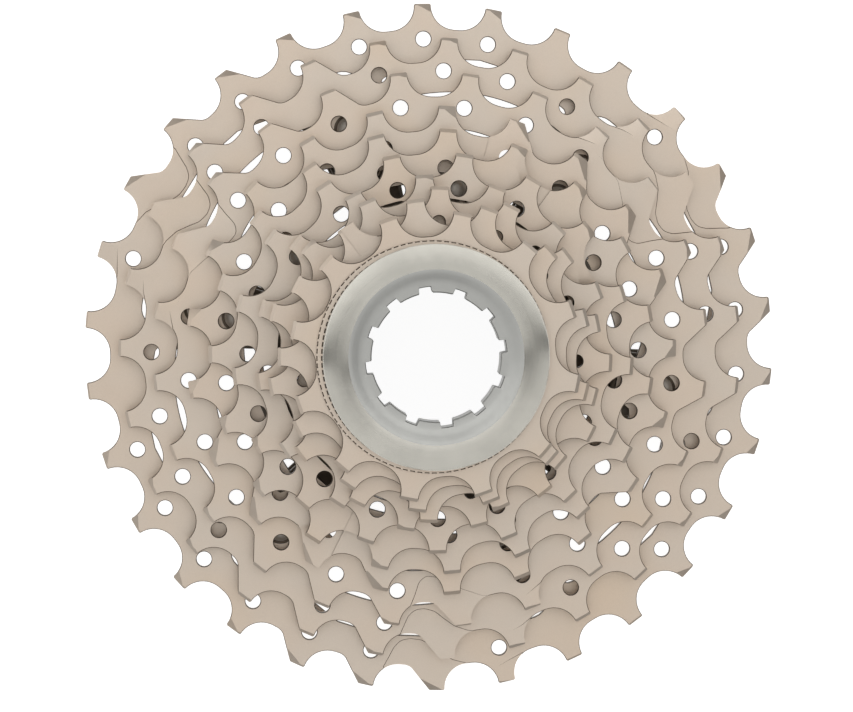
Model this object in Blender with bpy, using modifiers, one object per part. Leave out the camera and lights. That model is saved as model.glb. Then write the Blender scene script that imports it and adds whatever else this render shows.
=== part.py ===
"""A ten-speed road bicycle cassette, 12 to 30 teeth, lying on its largest sprocket.

The three largest sprockets are riveted to one spider and the next two to a second one.
The five smallest are loose, with spacers between them, and a lockring holds the stack.
Lengths are in millimetres in the tables below and metres in the scene, and +Z is the wheel's axle.
"""

import math

import bmesh
import bpy

MM = 0.001

# Driving dimensions
CHAIN_PITCH = 12.7
SEAT_RADIUS = 4.4
SEAT_HALF_FLAT = 0.5
SEAT_DEPTH = 3.885
TIP_RISE = 0.6
SPROCKET_THICKNESS = 1.6
SPROCKET_SPACING = 3.95
FIRST_SPROCKET_Z = 1.0
STACK_GAP = 0.25
RIVET_GAP = 0.25

# Freehub spline: nine tabs, one of them narrow so that the sprockets fit one way only
BORE_RADIUS = 17.4
TAB_RADIUS = 16.05
TAB_COUNT = 9
WIDE_TAB_HALF_ANGLE = 8.5
NARROW_TAB_HALF_ANGLE = 5.5
BORE_RELIEF = 0.1

HUB_RADIUS = 21.5
SPACER_RADIUS = 20.5
COLLAR_RADIUS = 19.6

ARM_COUNT = 6
ARM_ROOT_RADIUS = 21.0
LARGE_ARM_ANGLE = 50.0
MID_ARM_ANGLE = 23.0
LUG_RADIUS = 3.2
PAIR_HALF_ANGLE = 6.75
PAIR_LUG_RADIUS = 2.8
SHANK_RADIUS = 1.5
RIVET_HEAD_RADIUS = 2.4
RIVET_HEAD_HEIGHT = 0.8

LOCKRING_RADIUS = 19.4
LOCKRING_FLANGE = 1.6
LOCKRING_SLEEVE_RADIUS = 15.3
LOCKRING_SLEEVE_LENGTH = 6.5
LOCKRING_BORE_RADIUS = 13.0
FUNNEL_RADIUS = 14.8
FUNNEL_DEPTH = 1.4
TOOL_GROOVE_RADIUS = 12.1
TOOL_TIP_RADIUS = 11.05
TOOL_SPLINES = 12
TOOL_SPLINE_PHASE = 24.0
WASHER_RADIUS = 20.0
WASHER_BORE_RADIUS = 15.7
WASHER_THICKNESS = 0.45

# Teeth: direction of the first tooth's tip, in degrees from +X
SPROCKETS = {
    30: 6.9,
    27: 6.4,
    24: 6.7,
    21: 0.6,
    19: 10.0,
    17: 17.3,
    15: 21.0,
    14: 10.9,
    13: 14.2,
    12: 19.3,
}

# Riveted rings: inner radius, rivet circle and the lugs' directions
LARGE_LUGS = [LARGE_ARM_ANGLE + arm * 360 / ARM_COUNT for arm in range(ARM_COUNT)]
MID_LUGS = [MID_ARM_ANGLE + arm * 360 / ARM_COUNT for arm in range(ARM_COUNT)]
PAIRED_LUGS = [lug + side * PAIR_HALF_ANGLE for lug in LARGE_LUGS for side in (-1, 1)]
RINGS = {
    30: (51.5, 45.9, PAIRED_LUGS),
    27: (45.6, 41.4, LARGE_LUGS),
    24: (39.3, 34.6, LARGE_LUGS),
    21: (33.0, 28.6, MID_LUGS),
    19: (29.8, 28.6, MID_LUGS),
}

# Lightening holes, one below a tooth: circle, radius, and which teeth have one, repeated round
HOLES = {
    30: (55.07, 1.35, "HH-H--HHHH"),
    27: (49.4, 1.35, "HH--HHHH-"),
    24: (43.1, 1.35, "HH-HHHHH"),
    21: (36.5, 1.35, "H"),
    19: (32.3, 1.35, "H"),
    17: (29.0, 1.35, "--HHHHHHH-HHHHHHH"),
    15: (24.9, 1.1, "H"),
    14: (23.0, 1.1, "H"),
}

WINDOW_COUNT = 6
WINDOW_ANGLE = 3.0
WINDOW_OUTER_RADIUS = 27.0
WINDOW_INNER_RADIUS = 21.8
SPOKE_HALF_WIDTH = 3.5

STEEL = (0.56, 0.48, 0.41)
ALUMINIUM = (0.60, 0.59, 0.57)
LOCKRING_GREY = (0.50, 0.50, 0.46)
SPACER_GREY = (0.035, 0.035, 0.037)


def sprocket_back(teeth):
    """Height of a sprocket's back face."""
    place = list(SPROCKETS).index(teeth)
    return FIRST_SPROCKET_Z + place * SPROCKET_SPACING


def sprocket_front(teeth):
    return sprocket_back(teeth) + SPROCKET_THICKNESS


def polar(radius, degrees):
    angle = math.radians(degrees)
    return (radius * math.cos(angle), radius * math.sin(angle))


def turned_point(point, degrees):
    angle = math.radians(degrees)
    x, y = point
    return (
        x * math.cos(angle) - y * math.sin(angle),
        x * math.sin(angle) + y * math.cos(angle),
    )


def arc(radius, start, end, segments):
    """Points along an arc round the axis, both ends included."""
    step = (end - start) / segments
    return [polar(radius, start + step * i) for i in range(segments + 1)]


def circle(radius, segments, centre=(0.0, 0.0)):
    points = [polar(radius, 360 * i / segments) for i in range(segments)]
    return [(centre[0] + x, centre[1] + y) for x, y in points]


# Outlines


def valley_points(teeth):
    """One chain roller's seat and its two flanks, as if the valley pointed along +X.

    Each flank is an arc that starts beside the seat's short flat and stands upright at the tip.
    """
    pitch_radius = CHAIN_PITCH / 2 / math.sin(math.pi / teeth)
    tip_radius = pitch_radius + TIP_RISE
    centre = pitch_radius - SEAT_DEPTH + SEAT_RADIUS
    across = math.hypot(centre, SEAT_HALF_FLAT)
    cosine = (across**2 + SEAT_RADIUS**2 - tip_radius**2) / (2 * across * SEAT_RADIUS)
    tip_angle = math.acos(cosine) - math.atan2(SEAT_HALF_FLAT, centre)
    segments = 3
    flank = []
    for i in range(segments + 1):
        angle = tip_angle * i / segments
        x = centre - SEAT_RADIUS * math.cos(angle)
        flank.append((x, SEAT_HALF_FLAT + SEAT_RADIUS * math.sin(angle)))
    return [(x, -y) for x, y in flank[::-1]] + flank


def tooth_outline(teeth, first_tip):
    step = 360 / teeth
    valley = valley_points(teeth)
    outline = []
    for i in range(teeth):
        direction = first_tip + (i + 0.5) * step
        outline += [turned_point(point, direction) for point in valley]
    return outline


def spline_outline(relief=0.0):
    """The bore that slides on the freehub, with its nine inward tabs."""
    step = 360 / TAB_COUNT
    outline = []
    for tab in range(TAB_COUNT):
        half = NARROW_TAB_HALF_ANGLE if tab == 0 else WIDE_TAB_HALF_ANGLE
        middle = tab * step
        outline.append(polar(BORE_RADIUS + relief, middle - half))
        outline += arc(TAB_RADIUS + relief, middle - half + 0.5, middle + half - 0.5, 2)
        outline.append(polar(BORE_RADIUS + relief, middle + half))
        outline.append(polar(BORE_RADIUS + relief, middle + step / 2))
    return outline


def lug_points(ring_radius, rivet_radius):
    """A rounded lug that reaches in from a ring's inner edge, as if it pointed along +X."""
    root_half = math.degrees(LUG_RADIUS / ring_radius) + 2.0
    tongue = [polar(ring_radius, -root_half), (rivet_radius, -LUG_RADIUS)]
    for turn in (45, 90, 135):
        inward, across = polar(LUG_RADIUS, turn)
        tongue.append((rivet_radius - across, -inward))
    tongue += [(rivet_radius, LUG_RADIUS), polar(ring_radius, root_half)]
    return tongue


def paired_lug_points(ring_radius, rivet_radius):
    """Two lugs side by side under a straight shoulder, with a rounded notch between them."""
    shoulder = 48.0
    rivet_x, rivet_y = polar(rivet_radius, PAIR_HALF_ANGLE)
    half = [(ring_radius - 0.2, 0.0), (ring_radius - 0.5, 2.6), (shoulder + 0.6, 4.6)]
    for turn in (-90, -30, 30, 90):
        inward, across = polar(PAIR_LUG_RADIUS, turn)
        half.append((rivet_x - inward, rivet_y + across))
    half += [(shoulder - 0.8, rivet_y + PAIR_LUG_RADIUS), (shoulder, rivet_y + PAIR_LUG_RADIUS + 1.0)]
    half += [(shoulder, 15.5), polar(ring_radius, 21.5)]
    return [(x, -y) for x, y in half[:0:-1]] + half


def ring_inner_outline(teeth):
    """A ring's inner edge: flats between lugs."""
    ring_radius, rivet_radius, lugs = RINGS[teeth]
    points = lug_points(ring_radius, rivet_radius)
    if lugs is PAIRED_LUGS:
        points = paired_lug_points(ring_radius, rivet_radius)
        lugs = LARGE_LUGS
    outline = []
    root_half = math.degrees(math.atan2(points[-1][1], points[-1][0]))
    gap = 360 / ARM_COUNT - 2 * root_half
    for direction in lugs:
        outline += [turned_point(point, direction) for point in points]
        flats = max(2, round(gap / 12))
        for i in range(1, flats):
            swell = 0.5 if i * 2 == flats else 0.0
            outline.append(polar(ring_radius + swell, direction + root_half + gap * i / flats))
    return outline


def lightening_holes(teeth):
    """Six-sided holes below the teeth, with flats as far from their centres as a round hole's edge."""
    radius, size, pattern = HOLES.get(teeth, (0.0, 0.0, "-"))
    outlines = []
    for tooth in range(teeth):
        if pattern[tooth % len(pattern)] == "H":
            place = polar(radius, SPROCKETS[teeth] + tooth * 360 / teeth)
            outlines.append(circle(size, 6, place))
    return outlines


def rivet_holes(rivet_radius, directions, relief=0.0):
    hole_radius = SHANK_RADIUS + RIVET_GAP + relief
    return [circle(hole_radius, 8, polar(rivet_radius, direction)) for direction in directions]


def window_outlines():
    """The openings between the six spokes of a light sprocket."""
    outlines = []
    step = 360 / WINDOW_COUNT
    outer_half = step / 2 - math.degrees(math.asin(SPOKE_HALF_WIDTH / WINDOW_OUTER_RADIUS))
    inner_half = step / 2 - math.degrees(math.asin(SPOKE_HALF_WIDTH / WINDOW_INNER_RADIUS))
    for i in range(WINDOW_COUNT):
        middle = WINDOW_ANGLE + i * step
        outer = arc(WINDOW_OUTER_RADIUS, middle - outer_half, middle + outer_half, 4)
        inner = arc(WINDOW_INNER_RADIUS, middle + inner_half, middle - inner_half, 3)
        outlines.append(outer + inner)
    return outlines


def star_outline(arm_points, first_arm):
    """A spider's outline: the same arm at each of six directions, rooted inside the hub wall."""
    step = 360 / ARM_COUNT
    outline = []
    for i in range(ARM_COUNT):
        direction = first_arm + i * step
        outline += [polar(radius, direction + offset) for radius, offset in arm_points]
        outline.append(polar(arm_points[0][0], direction + step / 2))
    return outline


def large_arm():
    """The large spider's arm, which widens at its end for two rivets side by side."""
    half = [(ARM_ROOT_RADIUS, 11.0), (39.0, 9.6), (43.0, 10.4), (47.0, 9.9), (48.2, 7.0)]
    return [(radius, -offset) for radius, offset in half] + half[::-1]


def tool_outline():
    """The twelve splines that a lockring tool engages."""
    step = 360 / TOOL_SPLINES
    outline = []
    for i in range(TOOL_SPLINES):
        middle = TOOL_SPLINE_PHASE + i * step
        outline += arc(TOOL_TIP_RADIUS, middle - 9.0, middle + 9.0, 2)
        outline += [polar(TOOL_GROOVE_RADIUS, middle + 10.5)]
        outline += [polar(TOOL_GROOVE_RADIUS, middle + step - 10.5)]
    return outline


# Solids


def new_collection(name):
    collection = bpy.data.collections.new(name)
    bpy.context.scene.collection.children.link(collection)
    return collection


def give_material(obj, colour, roughness, metallic):
    material = bpy.data.materials.new(obj.name)
    material.use_nodes = True
    shader = material.node_tree.nodes["Principled BSDF"]
    shader.inputs["Base Color"].default_value = (*colour, 1.0)
    shader.inputs["Roughness"].default_value = roughness
    shader.inputs["Metallic"].default_value = metallic
    obj.data.materials.append(material)


def mesh_object(name, mesh, collection, height):
    obj = bpy.data.objects.new(name, mesh)
    obj.location.z = height
    collection.objects.link(obj)
    return obj


def plate(name, collection, outlines, low, high):
    """A flat piece from low to high: the first outline is its edge and the others are holes."""
    curve = bpy.data.curves.new(name, "CURVE")
    curve.dimensions = "2D"
    curve.fill_mode = "BOTH"
    curve.extrude = (high - low) / 2 * MM
    for outline in outlines:
        spline = curve.splines.new("POLY")
        spline.points.add(len(outline) - 1)
        for point, (x, y) in zip(spline.points, outline):
            point.co = (x * MM, y * MM, 0.0, 1.0)
        spline.use_cyclic_u = True
    source = mesh_object(name, curve, collection, 0.0)
    bpy.context.view_layer.update()
    graph = bpy.context.evaluated_depsgraph_get()
    mesh = bpy.data.meshes.new_from_object(source.evaluated_get(graph))
    bpy.data.objects.remove(source)
    welded = bmesh.new()
    welded.from_mesh(mesh)
    bmesh.ops.remove_doubles(welded, verts=welded.verts, dist=1e-6)
    bmesh.ops.recalc_face_normals(welded, faces=welded.faces)
    welded.to_mesh(mesh)
    welded.free()
    return mesh_object(name, mesh, collection, (low + high) / 2 * MM)


def turned(name, collection, profile, steps, closed):
    """A profile of (radius, height) points, spun once round the Z axis."""
    mesh = bpy.data.meshes.new(name)
    points = [(radius * MM, 0.0, height * MM) for radius, height in profile]
    edges = [(i, i + 1) for i in range(len(points) - 1)]
    if closed:
        edges.append((len(points) - 1, 0))
    mesh.from_pydata(points, edges, [])
    obj = mesh_object(name, mesh, collection, 0.0)
    screw = obj.modifiers.new("turn", "SCREW")
    screw.axis = "Z"
    screw.steps = steps
    screw.render_steps = steps
    screw.use_merge_vertices = True
    screw.merge_threshold = 1e-6
    return obj


def unite(target, tool):
    tool.hide_render = True
    tool.display_type = "WIRE"
    union = target.modifiers.new("join " + tool.name, "BOOLEAN")
    union.operation = "UNION"
    union.solver = "EXACT"
    union.object = tool


# The pieces


def riveted_sprocket(teeth, parts):
    rivet_radius, lugs = RINGS[teeth][1:]
    outlines = [tooth_outline(teeth, SPROCKETS[teeth]), ring_inner_outline(teeth)]
    outlines += rivet_holes(rivet_radius, lugs) + lightening_holes(teeth)
    low = sprocket_back(teeth)
    ring = plate(f"sprocket_{teeth}t", parts, outlines, low, low + SPROCKET_THICKNESS)
    give_material(ring, STEEL, 0.45, 1.0)


def loose_sprocket(teeth, parts, windows=()):
    outlines = [tooth_outline(teeth, SPROCKETS[teeth]), spline_outline()]
    outlines += lightening_holes(teeth) + list(windows)
    low = sprocket_back(teeth)
    disc = plate(f"sprocket_{teeth}t", parts, outlines, low, low + SPROCKET_THICKNESS)
    give_material(disc, STEEL, 0.45, 1.0)
    return disc


def collared_sprocket(teeth, below, parts, cutters):
    """A small sprocket with its spacer built in, as a collar on its back."""
    disc = loose_sprocket(teeth, parts)
    outlines = [circle(COLLAR_RADIUS, 36), spline_outline(BORE_RELIEF)]
    low = sprocket_front(below) + STACK_GAP
    high = sprocket_back(teeth) + SPROCKET_THICKNESS / 4
    collar = plate(f"collar_{teeth}t", cutters, outlines, low, high)
    unite(disc, collar)


def spacer(name, below, above, parts):
    outlines = [circle(SPACER_RADIUS, 36), spline_outline()]
    low = sprocket_front(below) + STACK_GAP
    high = sprocket_back(above) - STACK_GAP
    ring = plate(name, parts, outlines, low, high)
    give_material(ring, SPACER_GREY, 0.55, 0.0)


def large_carrier(parts, cutters):
    """The spider of the three largest sprockets: a hub, six arms, and a step on each arm."""
    top = sprocket_back(21) - 2 * STACK_GAP
    hub_outlines = [circle(HUB_RADIUS, 48), spline_outline()]
    hub = plate("carrier_large", parts, hub_outlines, 0.0, top)
    plate_low = sprocket_front(30) + STACK_GAP
    plate_high = sprocket_back(27) - STACK_GAP
    star = star_outline(large_arm(), LARGE_ARM_ANGLE)
    holes = rivet_holes(RINGS[30][1], PAIRED_LUGS) + rivet_holes(RINGS[27][1], LARGE_LUGS)
    holes += rivet_holes(RINGS[24][1], LARGE_LUGS)
    outlines = [star, circle(20.0, 36)] + holes
    arms = plate("large_arms", cutters, outlines, plate_low, plate_high)
    unite(hub, arms)
    step_root = ARM_ROOT_RADIUS - 0.4
    step_arm = [(step_root, -10.0), (37.5, -9.0), (37.8, 0.0), (37.5, 9.0), (step_root, 10.0)]
    star = star_outline(step_arm, LARGE_ARM_ANGLE)
    step_high = sprocket_back(24) - STACK_GAP
    outlines = [star, circle(19.7, 36)] + rivet_holes(RINGS[24][1], LARGE_LUGS, relief=0.1)
    steps = plate("arm_steps", cutters, outlines, plate_high - 0.4, step_high)
    unite(hub, steps)
    give_material(hub, ALUMINIUM, 0.4, 1.0)


def mid_carrier(parts, cutters):
    """The spider between the 21 and 19 tooth sprockets."""
    low = sprocket_back(21) - STACK_GAP
    high = sprocket_front(19)
    hub_outlines = [circle(HUB_RADIUS, 48), spline_outline()]
    hub = plate("carrier_mid", parts, hub_outlines, low, high)
    arm = [(ARM_ROOT_RADIUS, -12.0), (31.8, -8.5), (31.8, 8.5), (ARM_ROOT_RADIUS, 12.0)]
    star = star_outline(arm, MID_ARM_ANGLE)
    outlines = [star, circle(20.0, 36)] + rivet_holes(RINGS[21][1], MID_LUGS)
    plate_low = sprocket_front(21) + STACK_GAP
    plate_high = sprocket_back(19) - STACK_GAP
    arms = plate("mid_arms", cutters, outlines, plate_low, plate_high)
    unite(hub, arms)
    give_material(hub, ALUMINIUM, 0.4, 1.0)


def rivet(name, parts, place, low, high, flush_top):
    """A rivet whose shank spans low to high, headed below and, unless flush, above."""
    head = RIVET_HEAD_RADIUS
    shank = SHANK_RADIUS
    height = RIVET_HEAD_HEIGHT
    lower_head = [(shank, low), (head, low), (head, low - height), (0.0, low - height)]
    upper_head = [(0.0, high + height), (head, high + height), (head, high), (shank, high)]
    top = [(0.0, high), (shank, high)] if flush_top else upper_head
    obj = turned(name, parts, top + lower_head, 8, closed=False)
    obj.location.x = place[0] * MM
    obj.location.y = place[1] * MM
    give_material(obj, STEEL, 0.35, 1.0)


def rivets(parts):
    """Twelve rivets for the 30, six each for the 27 and the 24, and six through the 21 and 19."""
    gap = STACK_GAP
    rows = [
        ("rivet_30t", 30, PAIRED_LUGS, sprocket_back(30) - gap, sprocket_back(27) - 1.2 * gap, True),
        ("rivet_27t", 27, LARGE_LUGS, sprocket_front(30), sprocket_front(27) + gap, False),
        ("rivet_24t", 24, LARGE_LUGS, sprocket_front(30), sprocket_front(24) + gap, False),
        ("rivet_21t", 21, MID_LUGS, sprocket_back(21) - gap, sprocket_front(19) + gap, False),
    ]
    for base, teeth, directions, low, high, flush_top in rows:
        rivet_radius = RINGS[teeth][1]
        for number, direction in enumerate(directions, start=1):
            place = polar(rivet_radius, direction)
            rivet(f"{base}_{number}", parts, place, low, high, flush_top)


def washer(parts):
    low = sprocket_front(12) + STACK_GAP
    outlines = [circle(WASHER_RADIUS, 36), circle(WASHER_BORE_RADIUS, 36)]
    ring = plate("lockring_washer", parts, outlines, low, low + WASHER_THICKNESS)
    give_material(ring, STEEL, 0.35, 1.0)


def lockring(parts, cutters):
    """The ring that screws into the freehub: a flange, a sleeve and the tool's splines."""
    seat = sprocket_front(12) + 2 * STACK_GAP + WASHER_THICKNESS
    top = seat + LOCKRING_FLANGE
    foot = seat - LOCKRING_SLEEVE_LENGTH
    edge = 0.2
    profile = [
        (FUNNEL_RADIUS, top),
        (LOCKRING_RADIUS - edge, top),
        (LOCKRING_RADIUS, top - edge),
        (LOCKRING_RADIUS, seat),
        (LOCKRING_SLEEVE_RADIUS, seat),
        (LOCKRING_SLEEVE_RADIUS, foot),
        (LOCKRING_BORE_RADIUS, foot),
        (LOCKRING_BORE_RADIUS, top - FUNNEL_DEPTH),
    ]
    ring = turned("lockring", parts, profile, 36, closed=True)
    outlines = [circle(LOCKRING_BORE_RADIUS + 0.8, 36), tool_outline()]
    splines = plate("tool_splines", cutters, outlines, foot + 0.6, top - FUNNEL_DEPTH - 0.4)
    unite(ring, splines)
    give_material(ring, LOCKRING_GREY, 0.4, 1.0)


def main():
    for obj in list(bpy.data.objects):
        bpy.data.objects.remove(obj)
    parts = new_collection("cassette")
    cutters = new_collection("cutters")
    for teeth in RINGS:
        riveted_sprocket(teeth, parts)
    large_carrier(parts, cutters)
    mid_carrier(parts, cutters)
    rivets(parts)
    spacer("spacer_17_19", 19, 17, parts)
    loose_sprocket(17, parts, window_outlines())
    spacer("spacer_15_17", 17, 15, parts)
    loose_sprocket(15, parts)
    spacer("spacer_14_15", 15, 14, parts)
    loose_sprocket(14, parts)
    collared_sprocket(13, 14, parts, cutters)
    collared_sprocket(12, 13, parts, cutters)
    washer(parts)
    lockring(parts, cutters)


main()
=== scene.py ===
import math

import bmesh
import bpy
from mathutils import Matrix, Vector


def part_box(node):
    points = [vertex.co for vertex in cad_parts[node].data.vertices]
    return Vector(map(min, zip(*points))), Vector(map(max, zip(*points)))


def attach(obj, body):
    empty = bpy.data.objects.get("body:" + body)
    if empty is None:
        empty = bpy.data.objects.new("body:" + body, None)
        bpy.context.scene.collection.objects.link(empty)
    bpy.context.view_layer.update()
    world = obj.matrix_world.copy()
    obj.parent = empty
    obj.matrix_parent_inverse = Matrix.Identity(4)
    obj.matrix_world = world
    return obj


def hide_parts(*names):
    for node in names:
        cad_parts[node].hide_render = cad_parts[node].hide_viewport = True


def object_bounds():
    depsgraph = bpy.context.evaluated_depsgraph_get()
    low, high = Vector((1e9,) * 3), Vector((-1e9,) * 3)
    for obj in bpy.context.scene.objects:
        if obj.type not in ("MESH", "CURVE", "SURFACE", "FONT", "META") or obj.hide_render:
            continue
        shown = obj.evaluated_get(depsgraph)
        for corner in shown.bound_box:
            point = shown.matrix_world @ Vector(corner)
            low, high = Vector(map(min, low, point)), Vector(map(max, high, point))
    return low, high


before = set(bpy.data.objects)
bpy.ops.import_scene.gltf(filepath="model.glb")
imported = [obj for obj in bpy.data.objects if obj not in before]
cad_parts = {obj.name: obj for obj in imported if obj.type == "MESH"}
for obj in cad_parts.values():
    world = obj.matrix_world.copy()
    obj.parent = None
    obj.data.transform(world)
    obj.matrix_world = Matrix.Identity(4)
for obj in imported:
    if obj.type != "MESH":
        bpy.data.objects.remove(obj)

MM = 0.001
cad_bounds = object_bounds()

# Teeth, which follow from the chain
CHAIN_PITCH = 12.7
SEAT_RADIUS = 4.4
SEAT_HALF_FLAT = 0.5
SEAT_DEPTH = 3.885
FLANK_SEGMENTS = 11
TIP_RISE = 0.6
TIP_CORNER = 0.2
TIP_HALF_WIDTH = 1.25
WIDE_FOOT = 4.3
TIP_BEVEL_SLOPE = 0.6
FACET_SLOPE = 0.68

# Plates and their lightening holes. CUT_ROOM is how far a cutter stands past what it cuts.
THICKNESS = 1.6
EDGE = 0.12
HOLE_RADIUS = 1.35
SMALL_HOLE_RADIUS = 1.1
HOLE_SEGMENTS = 28
PIECE_GAP = 0.25
CUT_ROOM = 1.0

# Freehub spline: nine tabs, the first of them narrow. Tab widths are half angles.
BORE_RADIUS = 17.4
TAB_RADIUS = 16.05
TAB_COUNT = 9
WIDE_TAB = 8.5
NARROW_TAB = 5.5

# Hubs, spacers and collars, and the spiders' arms with the lugs that meet them
HUB_RADIUS = 21.5
HUB_EDGE = 0.3
SPACER_RADIUS = 20.5
SPACER_EDGE = 0.22
COLLAR_RADIUS = 19.6
HUB_SEGMENTS = 144
ARM_EDGE = 0.2
ARM_COUNT = 6
ARM_STEP = 360 / ARM_COUNT
LARGE_ARM_ANGLE = 50.0
MID_ARM_ANGLE = 23.0
LUG_RADIUS = 3.2
PAIR_HALF_ANGLE = 6.75
PAIR_LUG_RADIUS = 2.8
PAIR_SHOULDER = 48.0
PAIR_NOTCH_RADIUS = 3.3

# Rivets
COUNTERBORE_RADIUS = 2.9
COUNTERBORE_DEPTH = 1.0
RIVET_GAP = 0.08
SHANK_RADIUS = 1.5
SHANK_SEGMENTS = 20
RIVET_HEAD_RADIUS = 2.4
RIVET_HEAD_HEIGHT = 0.8

LARGE_LUGS = [LARGE_ARM_ANGLE + arm * ARM_STEP for arm in range(ARM_COUNT)]
MID_LUGS = [MID_ARM_ANGLE + arm * ARM_STEP for arm in range(ARM_COUNT)]
PAIRED_LUGS = [lug + side * PAIR_HALF_ANGLE for lug in LARGE_LUGS for side in (-1, 1)]

# Per sprocket: direction of the first tooth, body, ring (inner radius, rivet circle, lugs),
# holes (radius, size, turn from the tooth's middle, and which teeth have one, repeated round)
SPROCKETS = {
    30: (7.15, "large_unit", (51.5, 45.9, PAIRED_LUGS), (55.07, HOLE_RADIUS, -0.05, "HH-H--HHHH")),
    27: (6.4, "large_unit", (45.6, 41.4, LARGE_LUGS), (49.4, HOLE_RADIUS, 0.8, "HH--HHHH-")),
    24: (6.7, "large_unit", (39.3, 34.6, LARGE_LUGS), (43.1, HOLE_RADIUS, 0.4, "HH-HHHHH")),
    21: (0.6, "mid_unit", (33.0, 28.6, MID_LUGS), (36.5, HOLE_RADIUS, -0.4, "H")),
    19: (10.0, "mid_unit", (29.8, 28.6, MID_LUGS), (32.3, HOLE_RADIUS, 0.0, "HH--HHHHHHHH--HHHHH")),
    17: (17.3, "sprocket_17", None, (29.0, HOLE_RADIUS, 0.2, "--HHHHHHH-HHHHHHH")),
    15: (21.0, "sprocket_15", None, (24.9, SMALL_HOLE_RADIUS, 0.0, "HHHHHHHHHHHH--H")),
    14: (10.9, "sprocket_14", None, (23.0, SMALL_HOLE_RADIUS, 0.0, "HHHH-H-H--HHHH")),
    13: (14.2, "sprocket_13", None, None),
    12: (19.3, "sprocket_12", None, None),
}

# A riveted ring's inner edge: widest radius, how fast it narrows away from there (mm per degree
# squared), and the direction where it is widest
RING_EDGES = {
    30: (52.0, 0.0069, 20.0),
    27: (45.95, 0.0035, 17.0),
    24: (39.3, 0.0055, 21.0),
    21: (33.0, 0.002, 53.0),
    19: (29.8, 0.001, 53.0),
}

# How far each sprocket's tip bevel reaches down the tooth, and how far a twisted tip's facet does
TIP_BEVEL_REACH = {
    30: 0.3, 27: 0.5, 24: 0.5, 21: 0.65, 19: 0.65, 17: 0.65, 15: 0.6, 14: 0.6, 13: 0.6, 12: 0.6,
}
FACET_REACH = {30: 1.9, 27: 1.3, 24: 1.3, 21: 2.5, 19: 2.0, 17: 1.7, 15: 1.3, 14: 1.3}

# Teeth with a wide clockwise flank (W), repeated round the sprocket
WIDE_TEETH = {30: "WWW-------", 27: "WWW-----W", 24: "WWW----W", 21: "-WWWW-------WWWW---W-"}

# Windows between the spokes of the 17 tooth sprocket
WINDOW_ANGLE = 3.0
WINDOW_OUTER = 27.0
WINDOW_INNER = 21.8
WINDOW_CORNER = 1.2
SPOKE_COUNT = 6
SPOKE_HALF_WIDTH = 3.5


# Outlines


def polar(radius, degrees):
    angle = math.radians(degrees)
    return (radius * math.cos(angle), radius * math.sin(angle))


def turned(point, degrees):
    angle = math.radians(degrees)
    x, y = point
    c, s = math.cos(angle), math.sin(angle)
    return (x * c - y * s, x * s + y * c)


def arc(radius, start, end, segments):
    step = (end - start) / segments
    return [polar(radius, start + step * i) for i in range(segments + 1)]


def circle(radius, segments, centre=(0.0, 0.0)):
    points = [polar(radius, 360 * i / segments) for i in range(segments)]
    return [(centre[0] + x, centre[1] + y) for x, y in points]


def rounded(points, radii, segments=5):
    """A closed outline with each corner replaced by an arc of its own radius."""
    made = []
    count = len(points)
    for i in range(count):
        radius = radii[i] if isinstance(radii, list) else radii
        here = Vector(points[i])
        to_last = Vector(points[i - 1]) - here
        to_next = Vector(points[(i + 1) % count]) - here
        half = to_last.angle(to_next) / 2
        if radius <= 0 or half > math.radians(86):
            made.append(tuple(here))
            continue
        cut = min(radius / math.tan(half), 0.45 * to_last.length, 0.45 * to_next.length)
        start, end = here + to_last.normalized() * cut, here + to_next.normalized() * cut
        for k in range(segments + 1):
            t = k / segments
            first, second = start.lerp(here, t), here.lerp(end, t)
            made.append(tuple(first.lerp(second, t)))
    return made


def pitch_radius(teeth):
    return CHAIN_PITCH / 2 / math.sin(math.pi / teeth)


def tip_radius(teeth):
    return pitch_radius(teeth) + TIP_RISE


def root_radius(teeth):
    return pitch_radius(teeth) - SEAT_DEPTH


def valley_points(teeth):
    """One roller's seat and flanks, as if along +X, from tooth tip to tooth tip."""
    tip = tip_radius(teeth)
    centre = root_radius(teeth) + SEAT_RADIUS
    across = math.hypot(centre, SEAT_HALF_FLAT)
    cosine = (across**2 + SEAT_RADIUS**2 - tip**2) / (2 * across * SEAT_RADIUS)
    tip_angle = math.acos(cosine) - math.atan2(SEAT_HALF_FLAT, centre)
    short = tip_angle - TIP_CORNER / SEAT_RADIUS
    flank = []
    for i in range(FLANK_SEGMENTS + 1):
        angle = short * i / FLANK_SEGMENTS
        x = centre - SEAT_RADIUS * math.cos(angle)
        flank.append((x, SEAT_HALF_FLAT + SEAT_RADIUS * math.sin(angle)))
    corner = (centre - SEAT_RADIUS * math.cos(tip_angle),
              SEAT_HALF_FLAT + SEAT_RADIUS * math.sin(tip_angle))
    flank.append(turned(corner, math.degrees(TIP_CORNER / tip)))
    return [(x, -y) for x, y in flank[::-1]] + flank


def wide_flank(teeth):
    """The clockwise flank of a wide tooth, as if the tooth stood along +X, from root to tip."""
    root, tip = root_radius(teeth), tip_radius(teeth)
    foot = [(root, WIDE_FOOT + 1.2), (root + 0.06, WIDE_FOOT + 0.9), (root + 0.2, WIDE_FOOT + 0.45)]
    slope = [
        (root + 0.5, WIDE_FOOT),
        (tip - 0.25, TIP_HALF_WIDTH + 0.12),
        (tip, TIP_HALF_WIDTH - 0.1),
    ]
    return [polar(radius, -math.degrees(across / radius)) for radius, across in foot + slope]


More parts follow.
